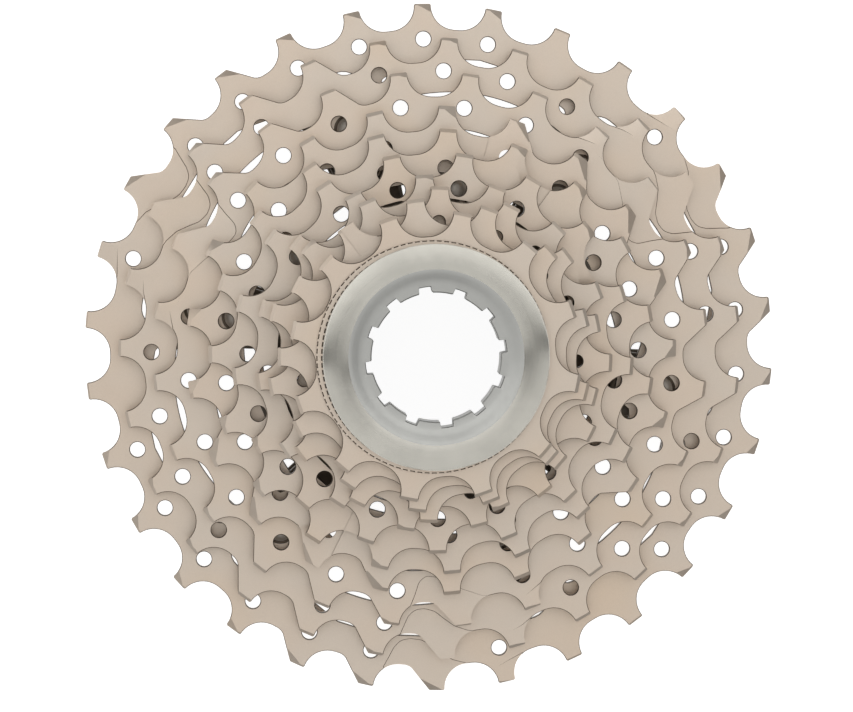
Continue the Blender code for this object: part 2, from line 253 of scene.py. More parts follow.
def tooth_outline(teeth, first_tip):
    """A sprocket's outer edge, valley by valley."""
    step = 360 / teeth
    valley = valley_points(teeth)
    pattern = WIDE_TEETH.get(teeth, "-")
    outline = []
    for i in range(teeth):
        direction = first_tip + (i + 0.5) * step
        if pattern[(i + 1) % teeth % len(pattern)] == "W":
            half = len(valley) // 2
            outline += [turned(point, direction) for point in valley[:half]]
            outline += [turned(point, direction + step / 2) for point in wide_flank(teeth)]
        else:
            outline += [turned(point, direction) for point in valley]
    return outline


def spline_outline(relief=0.0):
    """The splined bore, wider all round by the relief."""
    step = 360 / TAB_COUNT
    corners, radii = [], []
    for tab in range(TAB_COUNT):
        half = NARROW_TAB if tab == 0 else WIDE_TAB
        middle = tab * step
        corners.append(polar(BORE_RADIUS + relief, middle - half))
        corners.append(polar(TAB_RADIUS + relief, middle - half + 0.5))
        corners += arc(TAB_RADIUS + relief, middle - half + 2.0, middle + half - 2.0, 4)
        corners.append(polar(TAB_RADIUS + relief, middle + half - 0.5))
        corners.append(polar(BORE_RADIUS + relief, middle + half))
        radii += [0.3, 0.25] + [0.0] * 5 + [0.25, 0.3]
        following = NARROW_TAB if tab == TAB_COUNT - 1 else WIDE_TAB
        land = arc(BORE_RADIUS + relief, middle + half + 2.0, middle + step - following - 2.0, 5)
        corners += land
        radii += [0.0] * len(land)
    return rounded(corners, radii, 3)


def lug_points(ring_radius, rivet_radius):
    """A lug that reaches in from a ring's inner edge to its rivet, as if along +X."""
    root_half = math.degrees(LUG_RADIUS / ring_radius) + 2.0
    tongue = [polar(ring_radius, -root_half), (rivet_radius, -LUG_RADIUS)]
    for k in range(1, 12):
        inward, across = polar(LUG_RADIUS, 15 * k)
        tongue.append((rivet_radius - across, -inward))
    return tongue + [(rivet_radius, LUG_RADIUS), polar(ring_radius, root_half)]


def paired_lug_points(ring_radius, rivet_radius):
    """Two lugs side by side under a straight shoulder, with a rounded notch between them."""
    rivet_x, rivet_y = polar(rivet_radius, PAIR_HALF_ANGLE)
    notch_x, notch_y = ring_radius - 3.1, 1.3
    half = []
    for k in range(7):
        up, aside = polar(PAIR_NOTCH_RADIUS, 90 - 15 * k)
        half.append((notch_x + aside, notch_y + up))
    for k in range(11):
        inward, across = polar(PAIR_LUG_RADIUS, 18 * k - 90)
        half.append((rivet_x - inward, rivet_y + across))
    side = rivet_y + PAIR_LUG_RADIUS
    half += [
        (PAIR_SHOULDER - 0.8, side),
        (PAIR_SHOULDER - 0.25, side + 0.25),
        (PAIR_SHOULDER, side + 0.8),
        (PAIR_SHOULDER, 15.5),
        polar(ring_radius, 21.5),
    ]
    return [(x, -y) for x, y in half[::-1]] + half


def ring_edge(teeth, degrees):
    """Radius of a riveted ring's inner edge, which swells between the lugs."""
    widest, narrowing, middle = RING_EDGES[teeth]
    off = (degrees - middle + ARM_STEP / 2) % ARM_STEP - ARM_STEP / 2
    return widest - narrowing * off**2


def ring_inner_outline(teeth):
    """A riveted ring's inner edge with its lugs."""
    ring_radius, rivet_radius, lugs = SPROCKETS[teeth][2]
    points = lug_points(ring_radius, rivet_radius)
    if teeth == 30:
        points = paired_lug_points(ring_radius, rivet_radius)
        lugs = LARGE_LUGS
    root_half = math.degrees(math.atan2(points[-1][1], points[-1][0]))
    gap = ARM_STEP - 2 * root_half
    steps = 2 if teeth == 30 else round(gap / 2)
    outline = []
    for direction in lugs:
        outline += [turned(point, direction) for point in points[1:-1]]
        for k in range(steps + 1):
            here = direction + root_half + gap * k / steps
            outline.append(polar(ring_edge(teeth, here), here))
    return outline


def window_outlines():
    """The openings between a sprocket's spokes, with rounded corners."""
    step = 360 / SPOKE_COUNT
    outer_half = step / 2 - math.degrees(math.asin(SPOKE_HALF_WIDTH / WINDOW_OUTER))
    inner_half = step / 2 - math.degrees(math.asin(SPOKE_HALF_WIDTH / WINDOW_INNER))
    outlines = []
    for i in range(SPOKE_COUNT):
        middle = WINDOW_ANGLE + i * step
        outer = arc(WINDOW_OUTER, middle - outer_half, middle + outer_half, 12)
        inner = arc(WINDOW_INNER, middle + inner_half, middle - inner_half, 10)
        corner = [WINDOW_CORNER]
        radii = corner + [0.0] * (len(outer) - 2) + corner * 2 + [0.0] * (len(inner) - 2) + corner
        outlines.append(rounded(outer + inner, radii))
    return outlines


# Meshes. Points closer than WELD become one, and a filled curve's closer than CURVE_WELD (metres).

WELD = 2e-7
CURVE_WELD = 1e-6


def linked(name, mesh):
    obj = bpy.data.objects.new(name, mesh)
    bpy.context.scene.collection.objects.link(obj)
    return obj


def evaluated_mesh(obj):
    bpy.context.view_layer.update()
    graph = bpy.context.evaluated_depsgraph_get()
    return bpy.data.meshes.new_from_object(obj.evaluated_get(graph))


def turn_outwards(mesh, weld=0.0, triangles=False):
    """Turns a mesh's faces outwards, first joining close points or splitting faces if asked."""
    work = bmesh.new()
    work.from_mesh(mesh)
    if weld:
        bmesh.ops.remove_doubles(work, verts=work.verts, dist=weld)
    if triangles:
        bmesh.ops.triangulate(work, faces=work.faces)
    bmesh.ops.recalc_face_normals(work, faces=work.faces)
    work.to_mesh(mesh)
    work.free()


def settled(obj, angle=24.0):
    """Applies an object's modifiers, welds it and shades it smooth between its real edges."""
    mesh = evaluated_mesh(obj)
    name = obj.name
    bpy.data.objects.remove(obj)
    work = bmesh.new()
    work.from_mesh(mesh)
    bmesh.ops.remove_doubles(work, verts=work.verts, dist=WELD)
    bmesh.ops.dissolve_degenerate(work, dist=WELD, edges=work.edges)
    bmesh.ops.recalc_face_normals(work, faces=work.faces)
    work.to_mesh(mesh)
    work.free()
    mesh.shade_smooth()
    mesh.set_sharp_from_angle(angle=math.radians(angle))
    return linked(name, mesh)


def plate(name, outlines, low, high, edge=EDGE):
    """A flat piece with a small bevel round its edge and its holes."""
    curve = bpy.data.curves.new(name, "CURVE")
    curve.dimensions = "2D"
    curve.fill_mode = "BOTH"
    curve.extrude = ((high - low) / 2 - edge) * MM
    curve.bevel_depth = edge * MM
    curve.bevel_resolution = 0
    curve.offset = -edge * MM
    for outline in outlines:
        spline = curve.splines.new("POLY")
        spline.points.add(len(outline) - 1)
        for point, (x, y) in zip(spline.points, outline):
            point.co = (x * MM, y * MM, 0.0, 1.0)
        spline.use_cyclic_u = True
    source = linked(name + "_curve", curve)
    source.location.z = (low + high) / 2 * MM
    mesh = evaluated_mesh(source)
    mesh.transform(source.matrix_world)
    bpy.data.objects.remove(source)
    turn_outwards(mesh, weld=CURVE_WELD)
    return linked(name, mesh)


def revolved(name, profile, steps, shape=None):
    """A closed (radius, height) profile turned about Z. shape may move a point by its angle."""
    points, faces = [], []
    count = len(profile)
    for i in range(steps):
        angle = 360 * i / steps
        for k, (radius, height) in enumerate(profile):
            if shape:
                radius, height = shape(k, radius, height, i)
            x, y = polar(radius, angle)
            points.append((x * MM, y * MM, height * MM))
    for i in range(steps):
        j = (i + 1) % steps
        for k in range(count):
            m = (k + 1) % count
            faces.append((i * count + k, j * count + k, j * count + m, i * count + m))
    mesh = bpy.data.meshes.new(name)
    mesh.from_pydata(points, [], faces)
    turn_outwards(mesh)
    return linked(name, mesh)


def combine(target, tool, operation):
    """The target joined with a tool, cut by it or kept only inside it."""
    change = target.modifiers.new("combine", "BOOLEAN")
    change.operation = operation
    change.solver = "EXACT"
    change.object = tool
    made = settled(target)
    bpy.data.objects.remove(tool)
    return made


def prism(footprint, heights, top, lid=None):
    """Points and faces of a cutter over a footprint: its floor at heights, its lid at top."""
    count = len(footprint)
    points = [(x, y, z) for (x, y), z in zip(footprint, heights)]
    points += [(x, y, top) for x, y in lid or footprint]
    faces = [tuple(range(count))[::-1], tuple(range(count, 2 * count))]
    for i in range(count):
        j = (i + 1) % count
        faces.append((i, j, count + j, count + i))
    return points, faces


def carve(obj, prisms):
    """Cuts all the prisms from an object at once."""
    points, faces = [], []
    for some_points, some_faces in prisms:
        base = len(points)
        points += [(x * MM, y * MM, z * MM) for x, y, z in some_points]
        faces += [tuple(base + i for i in face) for face in some_faces]
    mesh = bpy.data.meshes.new("cutter")
    mesh.from_pydata(points, [], faces)
    turn_outwards(mesh, triangles=True)
    return combine(obj, linked("cutter", mesh), "DIFFERENCE")


# Shift ramps and twisted teeth


def twisted_tip(teeth, direction, front):
    """A facet across the clockwise corner of a tooth's tip."""
    tip = tip_radius(teeth)
    start = Vector((tip - FACET_REACH[teeth], -2.2))
    end = Vector((tip + 0.1, 1.5))
    along = (end - start).normalized()
    across = 3.0
    out = Vector((along.y, -along.x)) * across
    start, end = start - along * 0.8, end + along * 0.8
    low = front - across * FACET_SLOPE
    footprint = [turned(tuple(point), direction) for point in (start, end, end + out, start + out)]
    return prism(footprint, [front, front, low, low], front + CUT_ROOM)


def spread(outline, distance):
    """An anticlockwise outline moved outwards by a distance."""
    moved = []
    count = len(outline)
    for i in range(count):
        here = Vector(outline[i])
        before = (here - Vector(outline[i - 1])).normalized()
        after = (Vector(outline[(i + 1) % count]) - here).normalized()
        along = (before + after).normalized()
        out = Vector((along.y, -along.x))
        moved.append(tuple(here + out * distance / max(0.5, along.dot(after))))
    return moved


def pocket(edge, rim, turn, front, deep_end=None, shallow_end=None):
    """A recess with a bevelled wall along an edge of (radius, degrees), open to the tips.

    Its floor is level, or rises from the angle of its deep end to that of its shallow end.
    """
    corners = [(rim, edge[-1][1]), (rim, edge[0][1])]
    outline = [polar(radius, degrees + turn) for radius, degrees in edge + corners]
    radii = [0.0] + [2.0] * (len(edge) - 2) + [0.0] * 3
    floor = rounded(outline[::-1], radii[::-1], 3)
    lid = spread(floor, POCKET_BEVEL * (1 + 1 / POCKET_DEPTH))
    heights = []
    for x, y in floor:
        share = 1.0
        if deep_end is not None:
            here = (math.degrees(math.atan2(y, x)) - turn) % 360
            share = min(1.0, max(0.0, (shallow_end - here) / (shallow_end - deep_end)))
        heights.append(front - POCKET_DEPTH * share)
    return prism(floor, heights, front + CUT_ROOM, lid)


def shift_ramp(teeth, start, sweep, inner, depth, front):
    """A shallow pocket that is deepest along one radial line and fades out round the sprocket."""
    outer = tip_radius(teeth) + CUT_ROOM
    sides = 6
    rim = [polar(outer, start + sweep * i / sides) for i in range(sides + 1)]
    foot = []
    for i in range(sides + 1):
        t = i / sides
        lift = (tip_radius(teeth) - inner) * (0.55 * t * t)
        foot.append(polar(inner + lift, start + sweep * t))
    footprint = rim + foot[::-1]
    line = Vector(polar(1.0, start))
    normal = Vector((-line.y, line.x)) * (1 if sweep > 0 else -1)
    reach = outer * math.sin(math.radians(abs(sweep)))
    heights = []
    for point in footprint:
        share = Vector(point).dot(normal) / reach
        heights.append(front - depth * (1 - share))
    return prism(footprint, heights, front + CUT_ROOM)


# Teeth with a twisted tip, numbered from the first tooth
TWISTED = {
    30: [k * 10 + i for k in range(3) for i in (0, 1, 2, 6, 7, 8, 9)],
    27: [k * 9 + i for k in range(3) for i in (1, 6, 7)],
    24: [k * 8 + i for k in range(3) for i in (1, 6)],
    21: [0, 1, 2, 3, 4, 5, 9, 10, 11, 12, 13, 14, 15, 20],
    19: [2, 3, 10, 11, 13],
    17: [1, 9],
    15: [3, 10],
    14: [5, 11],
}

# The recesses that let the chain step up: the edge of each as (radius, degrees), and the angles
# of its deep and shallow ends where its floor rises. They repeat at each of POCKET_TURNS.
POCKET_DEPTH = 0.32
POCKET_BEVEL = 0.13
POCKET_TURNS = (0, 120, 240)
POCKETS = {
    30: [
        ([(57.5, 21.9), (56.0, 22.5), (54.0, 23.3), (52.6, 24.4), (52.15, 26.3), (52.3, 28.3),
          (53.2, 30.5), (54.8, 32.5), (56.0, 34.2), (56.7, 36.3), (57.2, 37.5)], None, None),
        ([(58.4, 41.9), (57.9, 43.6), (57.15, 46.9)], 46.9, 41.9),
    ],
    27: [
        ([(52.0, 23.8), (50.0, 24.5), (47.8, 25.4), (46.6, 26.7), (46.3, 28.8), (46.8, 31.0),
          (48.2, 33.0), (49.6, 35.0), (50.6, 37.5), (51.2, 40.0)], None, None),
        ([(52.3, 46.2), (51.9, 48.5), (51.25, 50.5)], 50.5, 46.2),
    ],
    24: [
        ([(49.5, 23.7), (46.5, 25.2), (43.5, 26.4), (41.2, 27.2), (40.1, 28.8), (40.3, 31.0),
          (41.2, 34.5), (42.8, 37.5), (44.6, 42.0), (45.3, 47.0), (45.5, 50.0)], 24.0, 50.0),
        ([(46.7, 51.0), (46.2, 53.2), (45.7, 55.5)], 55.5, 51.0),
    ],
}

# Plain shift ramps: starting angle, sweep, inner radius and depth
RAMPS = {
    21: [(75, -12, 34.6, 0.45), (244, -12, 34.6, 0.45)],
    19: [(53.7, 12, 31.3, 0.45), (243.5, 12, 31.3, 0.45)],
    17: [(23.3, 13, 28.2, 0.4)],
    13: [(127, -16, 21.4, 0.35)],
}


def node_span(node):
    low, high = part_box(node)
    return low.z / MM, high.z / MM


def rivet_holes(radius, directions, relief=0.0):
    size = SHANK_RADIUS + RIVET_GAP + relief
    return [circle(size, SHANK_SEGMENTS, polar(radius, direction)) for direction in directions]


def sprocket_outlines(teeth):
    """A sprocket's outer edge, its bore or ring edge, and all its holes."""
    first_tip, _, ring, holes = SPROCKETS[teeth]
    outlines = [tooth_outline(teeth, first_tip)]
    if ring:
        outlines.append(ring_inner_outline(teeth))
        outlines += rivet_holes(*ring[1:])
    else:
        outlines.append(spline_outline())
    if teeth == 17:
        outlines += window_outlines()
    if holes:
        radius, size, turn, pattern = holes
        for i in range(teeth):
            if pattern[i % len(pattern)] == "H":
                place = polar(radius, first_tip + turn + i * 360 / teeth)
                outlines.append(circle(size, HOLE_SEGMENTS, place))
    return outlines


def bevelled_blank(teeth, back, front):
    """What is left of a thick disc once the tips' bevels are turned on both its faces."""
    start = tip_radius(teeth) - TIP_BEVEL_REACH[teeth]
    inner = TAB_RADIUS - 3 * CUT_ROOM
    beyond = 0.15
    outer = tip_radius(teeth) + beyond
    fall = TIP_BEVEL_SLOPE * (TIP_BEVEL_REACH[teeth] + beyond)
    return revolved("blank", [
        (inner, back - CUT_ROOM),
        (start, back - CUT_ROOM),
        (start, back),
        (outer, back + fall),
        (outer, front - fall),
        (start, front),
        (start, front + CUT_ROOM),
        (inner, front + CUT_ROOM),
    ], 180)


def counterbores(teeth, front):
    """Cutters for the sunken faces round the rivets."""
    _, rivet_radius, lugs = SPROCKETS[teeth][2]
    cuts = []
    for direction in lugs:
        bore = circle(COUNTERBORE_RADIUS, 32, polar(rivet_radius, direction))
        cuts.append(prism(bore, [front - COUNTERBORE_DEPTH] * len(bore), front + CUT_ROOM))
    return cuts


def sprocket(teeth):
    first_tip, body = SPROCKETS[teeth][:2]
    node = f"sprocket_{teeth}t"
    bottom, front = node_span(node)
    back = front - THICKNESS
    disc = plate(node + "_shape", sprocket_outlines(teeth), back, front)
    disc = combine(disc, bevelled_blank(teeth, back, front), "INTERSECT")
    if bottom < back - 0.5:
        outlines = [circle(COLLAR_RADIUS, 120), spline_outline(0.05)]
        disc = combine(disc, plate("collar", outlines, bottom, back + 0.4), "UNION")
    cuts = counterbores(teeth, front) if teeth in (27, 24) else []
    for i in TWISTED.get(teeth, []):
        in_pocket = teeth == 30 and i % 10 == 2
        lowered = POCKET_DEPTH if in_pocket else 0.0
        cuts.append(twisted_tip(teeth, first_tip + i * 360 / teeth, front - lowered))
    if cuts:
        disc = carve(disc, cuts)
    rim = tip_radius(teeth) + 1.5
    for edge, deep_end, shallow_end in POCKETS.get(teeth, []):
        shapes = [pocket(edge, rim, turn, front, deep_end, shallow_end) for turn in POCKET_TURNS]
        disc = carve(disc, shapes)
    for start, sweep, ramp_inner, depth in RAMPS.get(teeth, []):
        disc = carve(disc, [shift_ramp(teeth, start, sweep, ramp_inner, depth, front)])
    disc.name = f"toothed_sprocket_{teeth}"
    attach(disc, body)
    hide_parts(node)
    return disc


# Spiders, spacers and rivets


def star_outline(arm, first_arm, radii):
    """Six arms, each given by points as if along +X, with a point between them on the hub."""
    corners, rounds = [], []
    for i in range(ARM_COUNT):
        direction = first_arm + i * ARM_STEP
        corners += [polar(radius, direction + offset) for radius, offset in arm]
        rounds += radii
        corners.append(polar(arm[0][0], direction + ARM_STEP / 2))
        rounds.append(0.0)
    return rounded(corners, rounds)


def splined_hub(node):
    bottom, top = node_span(node)
    outlines = [circle(HUB_RADIUS, HUB_SEGMENTS), spline_outline()]
    return plate(node + "_shape", outlines, bottom, top, HUB_EDGE)


def spider_large():
    """The spider of the 30, 27 and 24: wide arms, with a shorter step on each for the 24."""
    node = "carrier_large"
    low = node_span("sprocket_30t")[1] + PIECE_GAP
    high = node_span("sprocket_27t")[0] - PIECE_GAP
    step_high = node_span("sprocket_24t")[0] - PIECE_GAP
    half = [(21.0, 11.0), (39.0, 9.6), (43.0, 10.4), (47.0, 9.9), (48.2, 7.0)]
    rounds = [0.0, 2.5, 2.5, 1.2, 0.6]
    arm = [(radius, -offset) for radius, offset in half] + half[::-1]
    outlines = [star_outline(arm, LARGE_ARM_ANGLE, rounds + rounds[::-1]), circle(20.0, 96)]
    for teeth in (30, 27, 24):
        outlines += rivet_holes(*SPROCKETS[teeth][2][1:])
    hub = combine(splined_hub(node), plate("arms", outlines, low, high, ARM_EDGE), "UNION")
    step_arm = [(20.6, -10.0), (37.5, -9.0), (37.8, 0.0), (37.5, 9.0), (20.6, 10.0)]
    outlines = [star_outline(step_arm, LARGE_ARM_ANGLE, [0.0, 1.2, 0.0, 1.2, 0.0]), circle(19.7, 96)]
    outlines += rivet_holes(SPROCKETS[24][2][1], LARGE_LUGS, 0.1)
    hub = combine(hub, plate("steps", outlines, high - 0.4, step_high, ARM_EDGE), "UNION")
    hub.name = "large_spider"
    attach(hub, "large_unit")
    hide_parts(node)
    return hub


def spider_mid():
    """The spider between the 21 and the 19."""
    node = "carrier_mid"
    low = node_span("sprocket_21t")[1] + PIECE_GAP
    high = node_span("sprocket_19t")[0] - PIECE_GAP
    arm = [(21.0, -12.0), (31.8, -8.5), (31.8, 8.5), (21.0, 12.0)]
    outlines = [star_outline(arm, MID_ARM_ANGLE, [0.0, 1.5, 1.5, 0.0]), circle(20.0, 96)]
    outlines += rivet_holes(*SPROCKETS[21][2][1:])
    hub = combine(splined_hub(node), plate("arms", outlines, low, high, ARM_EDGE), "UNION")
    hub.name = "mid_spider"
    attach(hub, "mid_unit")
    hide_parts(node)
    return hub


def spacer_ring(node, body):
    """A loose splined spacer."""
    low, high = node_span(node)
    outlines = [circle(SPACER_RADIUS, HUB_SEGMENTS), spline_outline()]
    ring = settled(plate(node + "_shape", outlines, low, high, SPACER_EDGE))
    ring.name = "ring_" + node
    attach(ring, body)
    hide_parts(node)
    return ring


def rivet(node, body, flush_top):
    """A rivet with a domed head below, and above it either another or a flush end."""
    box_low, box_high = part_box(node)
    centre = (box_low + box_high) / 2
    low, high = node_span(node)
    head, shank, axis = RIVET_HEAD_RADIUS - 0.02, SHANK_RADIUS, 0.02
    dome = []
    for degrees in (0, 18, 36, 54, 72):
        angle = math.radians(degrees)
        dome.append((head * math.cos(angle), RIVET_HEAD_HEIGHT * (0.25 + 0.75 * math.sin(angle))))
    lower_seat = low + RIVET_HEAD_HEIGHT
    profile = [(axis, low)] + [(radius, lower_seat - rise) for radius, rise in dome[::-1]]
    profile += [(head, lower_seat), (shank, lower_seat)]
    if flush_top:
        profile += [(shank, high - 0.1), (shank - 0.1, high), (axis, high)]
    else:
        seat = high - RIVET_HEAD_HEIGHT
        profile += [(shank, seat), (head, seat)]
        profile += [(radius, seat + rise) for radius, rise in dome] + [(axis, high)]
    obj = settled(revolved(node + "_shape", profile, 28), 35.0)
    obj.location = (centre.x, centre.y, 0.0)
    obj.name = "domed_" + node
    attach(obj, body)
    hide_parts(node)
    return obj


# Washer and lockring

SERRATIONS = 100
STEPS_PER_SERRATION = 6
DASH_STEPS = 3
SLOT_DEPTH = 0.36
SLOTS_START = 18.9
WASHER_SHIFT = -0.5
LOCKRING_STEPS = 432
TOOL_GROOVE = 12.1
TOOL_TIP = 11.05
TOOL_SPLINES = 12
TOOL_PHASE = 24.0
TOOL_HALF_ANGLE = 9.0
TOOL_CORNER = 0.12
FUNNEL_RADIUS = 15.0
THREAD_PITCH = 25.4 / 24
THREAD_DEPTH = 0.45
THREAD_RADIUS = 15.28
THREAD_ROWS = 46


def serrated_washer():
    """The washer under the lockring, with a row of slots and a row of edge notches.

    It has slipped a little to one side, so that both rows show there.
    """
    node = "lockring_washer"
    low, high = node_span(node)
    slot = high - SLOT_DEPTH
    sunken = (2, 3, 6, 7)
    profile = [
        (15.9, high), (18.92, high), (18.95, slot), (19.15, slot), (19.18, high),
        (19.78, high), (19.8, slot), (19.98, slot), (19.98, low), (15.9, low),
    ]

    def shape(k, radius, height, step):
        on_dash = step % STEPS_PER_SERRATION < DASH_STEPS
        if k in sunken and not on_dash:
            height = high
        return radius, height

    ring = settled(revolved(node + "_shape", profile, SERRATIONS * STEPS_PER_SERRATION, shape))
    ring.name = "serrated_washer"
    ring.location.x = WASHER_SHIFT * MM
    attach(ring, "washer")
    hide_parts(node)
    return ring


def lockring():
    """A flange with a funnel down to the tool's splines, over a threaded sleeve."""
    node = "lockring"
    foot, top = node_span(node)
    seat = node_span("lockring_washer")[1] + PIECE_GAP
    spline_top = top - 1.05
    spline_foot = foot + 0.6
    thread_top, thread_foot = seat - 0.8, foot + 0.35
    profile = [
        (15.05, top), (19.1, top), (19.3, top - 0.07), (19.4, top - 0.22),
        (19.4, seat + 0.12), (19.28, seat), (15.6, seat), (14.9, seat - 0.3),
    ]
    thread_start = len(profile)
    for i in range(THREAD_ROWS + 1):
        height = thread_top + (thread_foot - thread_top) * i / THREAD_ROWS
        profile.append((THREAD_RADIUS, height))
    thread_end = len(profile)
    profile += [
        (14.7, foot), (13.3, foot), (13.05, foot + 0.25), (13.0, spline_foot),
    ]
    tool_start = len(profile)
    profile += [(TOOL_TIP, spline_foot), (TOOL_TIP, spline_top - 0.15), (TOOL_TIP + 0.2, spline_top)]
    tool_end = len(profile)
    profile += [
        (12.3, spline_top + 0.03), (12.9, spline_top + 0.16), (13.6, top - 0.58),
        (14.3, top - 0.25), (14.7, top - 0.09),
    ]

    def shape(k, radius, height, step):
        angle = 360 * step / LOCKRING_STEPS
        if thread_start <= k < thread_end:
            turn = (height / THREAD_PITCH + angle / 360) % 1.0
            wave = abs(2 * turn - 1)
            ease = min(1.0, (thread_end - 1 - k) / 4, (k - thread_start) / 3)
            radius = THREAD_RADIUS - THREAD_DEPTH * (1 - wave) * ease - 0.2 * (1 - ease)
        if tool_start <= k < tool_end:
            apart = 360 / TOOL_SPLINES
            off = abs((angle - TOOL_PHASE + apart / 2) % apart - apart / 2)
            if off > TOOL_HALF_ANGLE + 0.4:
                radius = TOOL_GROOVE + (TOOL_CORNER if height > spline_top - 0.1 else 0.0)
            elif off > TOOL_HALF_ANGLE - 0.4:
                radius += TOOL_CORNER
        return radius, height

    ring = settled(revolved(node + "_shape", profile, LOCKRING_STEPS, shape), 28.0)
    ring.name = "splined_lockring"
    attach(ring, "lockring")
    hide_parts(node)
    return ring


# Materials


def node_tools(name):
    """A new material with its node tree, its shader and its object coordinates."""
    material = bpy.data.materials.new(name)
    material.use_nodes = True
    tree = material.node_tree
    shader = tree.nodes["Principled BSDF"]
    place = tree.nodes.new("ShaderNodeTexCoord").outputs["Object"]
    return material, tree, shader, place


def noise(tree, place, scale, detail, offset):
    """A noise value by position, with an offset that makes each material's own."""
    shift = tree.nodes.new("ShaderNodeMapping")
    shift.inputs["Location"].default_value = (offset, offset * 0.7, offset * 1.3)
    tree.links.new(place, shift.inputs["Vector"])
    made = tree.nodes.new("ShaderNodeTexNoise")
    made.inputs["Scale"].default_value = scale
    made.inputs["Detail"].default_value = detail
    made.inputs["Roughness"].default_value = 0.6
    tree.links.new(shift.outputs["Vector"], made.inputs["Vector"])
    return made.outputs["Fac"]


def ranged(tree, value, low, high, to_low=0.0, to_high=1.0):
    made = tree.nodes.new("ShaderNodeMapRange")
    made.inputs["From Min"].default_value = low
    made.inputs["From Max"].default_value = high
    made.inputs["To Min"].default_value = to_low
    made.inputs["To Max"].default_value = to_high
    tree.links.new(value, made.inputs["Value"])
    return made.outputs["Result"]


def mixed(tree, share, first, second, blend="MIX"):
    made = tree.nodes.new("ShaderNodeMix")
    made.data_type = "RGBA"
    made.blend_type = blend
    if isinstance(share, float):
        made.inputs["Factor"].default_value = share
    else:
        tree.links.new(share, made.inputs["Factor"])
    for socket, colour in (("A", first), ("B", second)):
        target = [s for s in made.inputs if s.name == socket and s.type == "RGBA"][0]
        if isinstance(colour, tuple):
            target.default_value = (*colour, 1.0)
        else:
            tree.links.new(colour, target)
    return [s for s in made.outputs if s.type == "RGBA"][0]


def bumped(tree, shader, height, distance, strength):
    made = tree.nodes.new("ShaderNodeBump")
    made.inputs["Strength"].default_value = strength
    made.inputs["Distance"].default_value = distance
    tree.links.new(height, made.inputs["Height"])
    tree.links.new(made.outputs["Normal"], shader.inputs["Normal"])


def satin_steel(name, cool, warm, offset):
    """Matt nickel-plated steel: broad drifts of tint, warmer stains and a fine grain."""
    material, tree, shader, place = node_tools(name)
    drift = ranged(tree, noise(tree, place, 42, 3, offset), 0.38, 0.66)
    colour = mixed(tree, drift, cool, warm)
    stain = ranged(tree, noise(tree, place, 30, 2, offset + 1.9), 0.56, 0.74, 0.0, 0.45)
    stained = tuple(c * k for c, k in zip(warm, STAIN_TINT))
    colour = mixed(tree, stain, colour, stained)
    speck = ranged(tree, noise(tree, place, 5200, 2, offset), 0.3, 0.7)
    grain = mixed(tree, speck, (0.955, 0.955, 0.955), (1.0, 1.0, 1.0))
    colour = mixed(tree, 1.0, colour, grain, "MULTIPLY")
    tree.links.new(colour, shader.inputs["Base Color"])
    shader.inputs["Metallic"].default_value = 1.0
    rough = ranged(tree, noise(tree, place, 160, 4, offset + 0.3), 0.3, 0.7, 0.34, 0.42)
    tree.links.new(rough, shader.inputs["Roughness"])
    bumped(tree, shader, noise(tree, place, 3600, 4, offset), 0.00003, 0.35)
    return material


def cast_alloy(name, colour, offset):
    """Dull metal with a blotched, slightly rough surface."""
    material, tree, shader, place = node_tools(name)
    dull = tuple(c * 0.72 for c in colour)
    blotch = ranged(tree, noise(tree, place, 260, 5, offset), 0.3, 0.7)
    tree.links.new(mixed(tree, blotch, dull, colour), shader.inputs["Base Color"])
    shader.inputs["Metallic"].default_value = 1.0
    rough = ranged(tree, noise(tree, place, 900, 3, offset), 0.3, 0.7, 0.42, 0.6)
    tree.links.new(rough, shader.inputs["Roughness"])
    bumped(tree, shader, noise(tree, place, 1500, 4, offset), 0.00006, 0.4)
    return material


def satin_alloy(name, colour, offset):
    """Smooth anodised aluminium with only a faint drift in its tint."""
    material, tree, shader, place = node_tools(name)
    dull = tuple(c * 0.95 for c in colour)
    drift = ranged(tree, noise(tree, place, 120, 3, offset), 0.35, 0.65)
    tree.links.new(mixed(tree, drift, dull, colour), shader.inputs["Base Color"])
    shader.inputs["Metallic"].default_value = 1.0
    rough = ranged(tree, noise(tree, place, 900, 3, offset), 0.3, 0.7, 0.36, 0.42)
    tree.links.new(rough, shader.inputs["Roughness"])
    bumped(tree, shader, noise(tree, place, 3000, 3, offset), 0.00001, 0.3)
    return material


def moulded_resin(name, colour, offset):
    """Dark matt resin with a faint haze."""
    material, tree, shader, place = node_tools(name)
    pale = tuple(c * 1.6 for c in colour)
    haze = ranged(tree, noise(tree, place, 340, 5, offset), 0.35, 0.75)
    tree.links.new(mixed(tree, haze, colour, pale), shader.inputs["Base Color"])
    rough = ranged(tree, noise(tree, place, 1300, 3, offset), 0.3, 0.7, 0.48, 0.66)
    tree.links.new(rough, shader.inputs["Roughness"])
    bumped(tree, shader, noise(tree, place, 2600, 4, offset), 0.00005, 0.5)
    return material


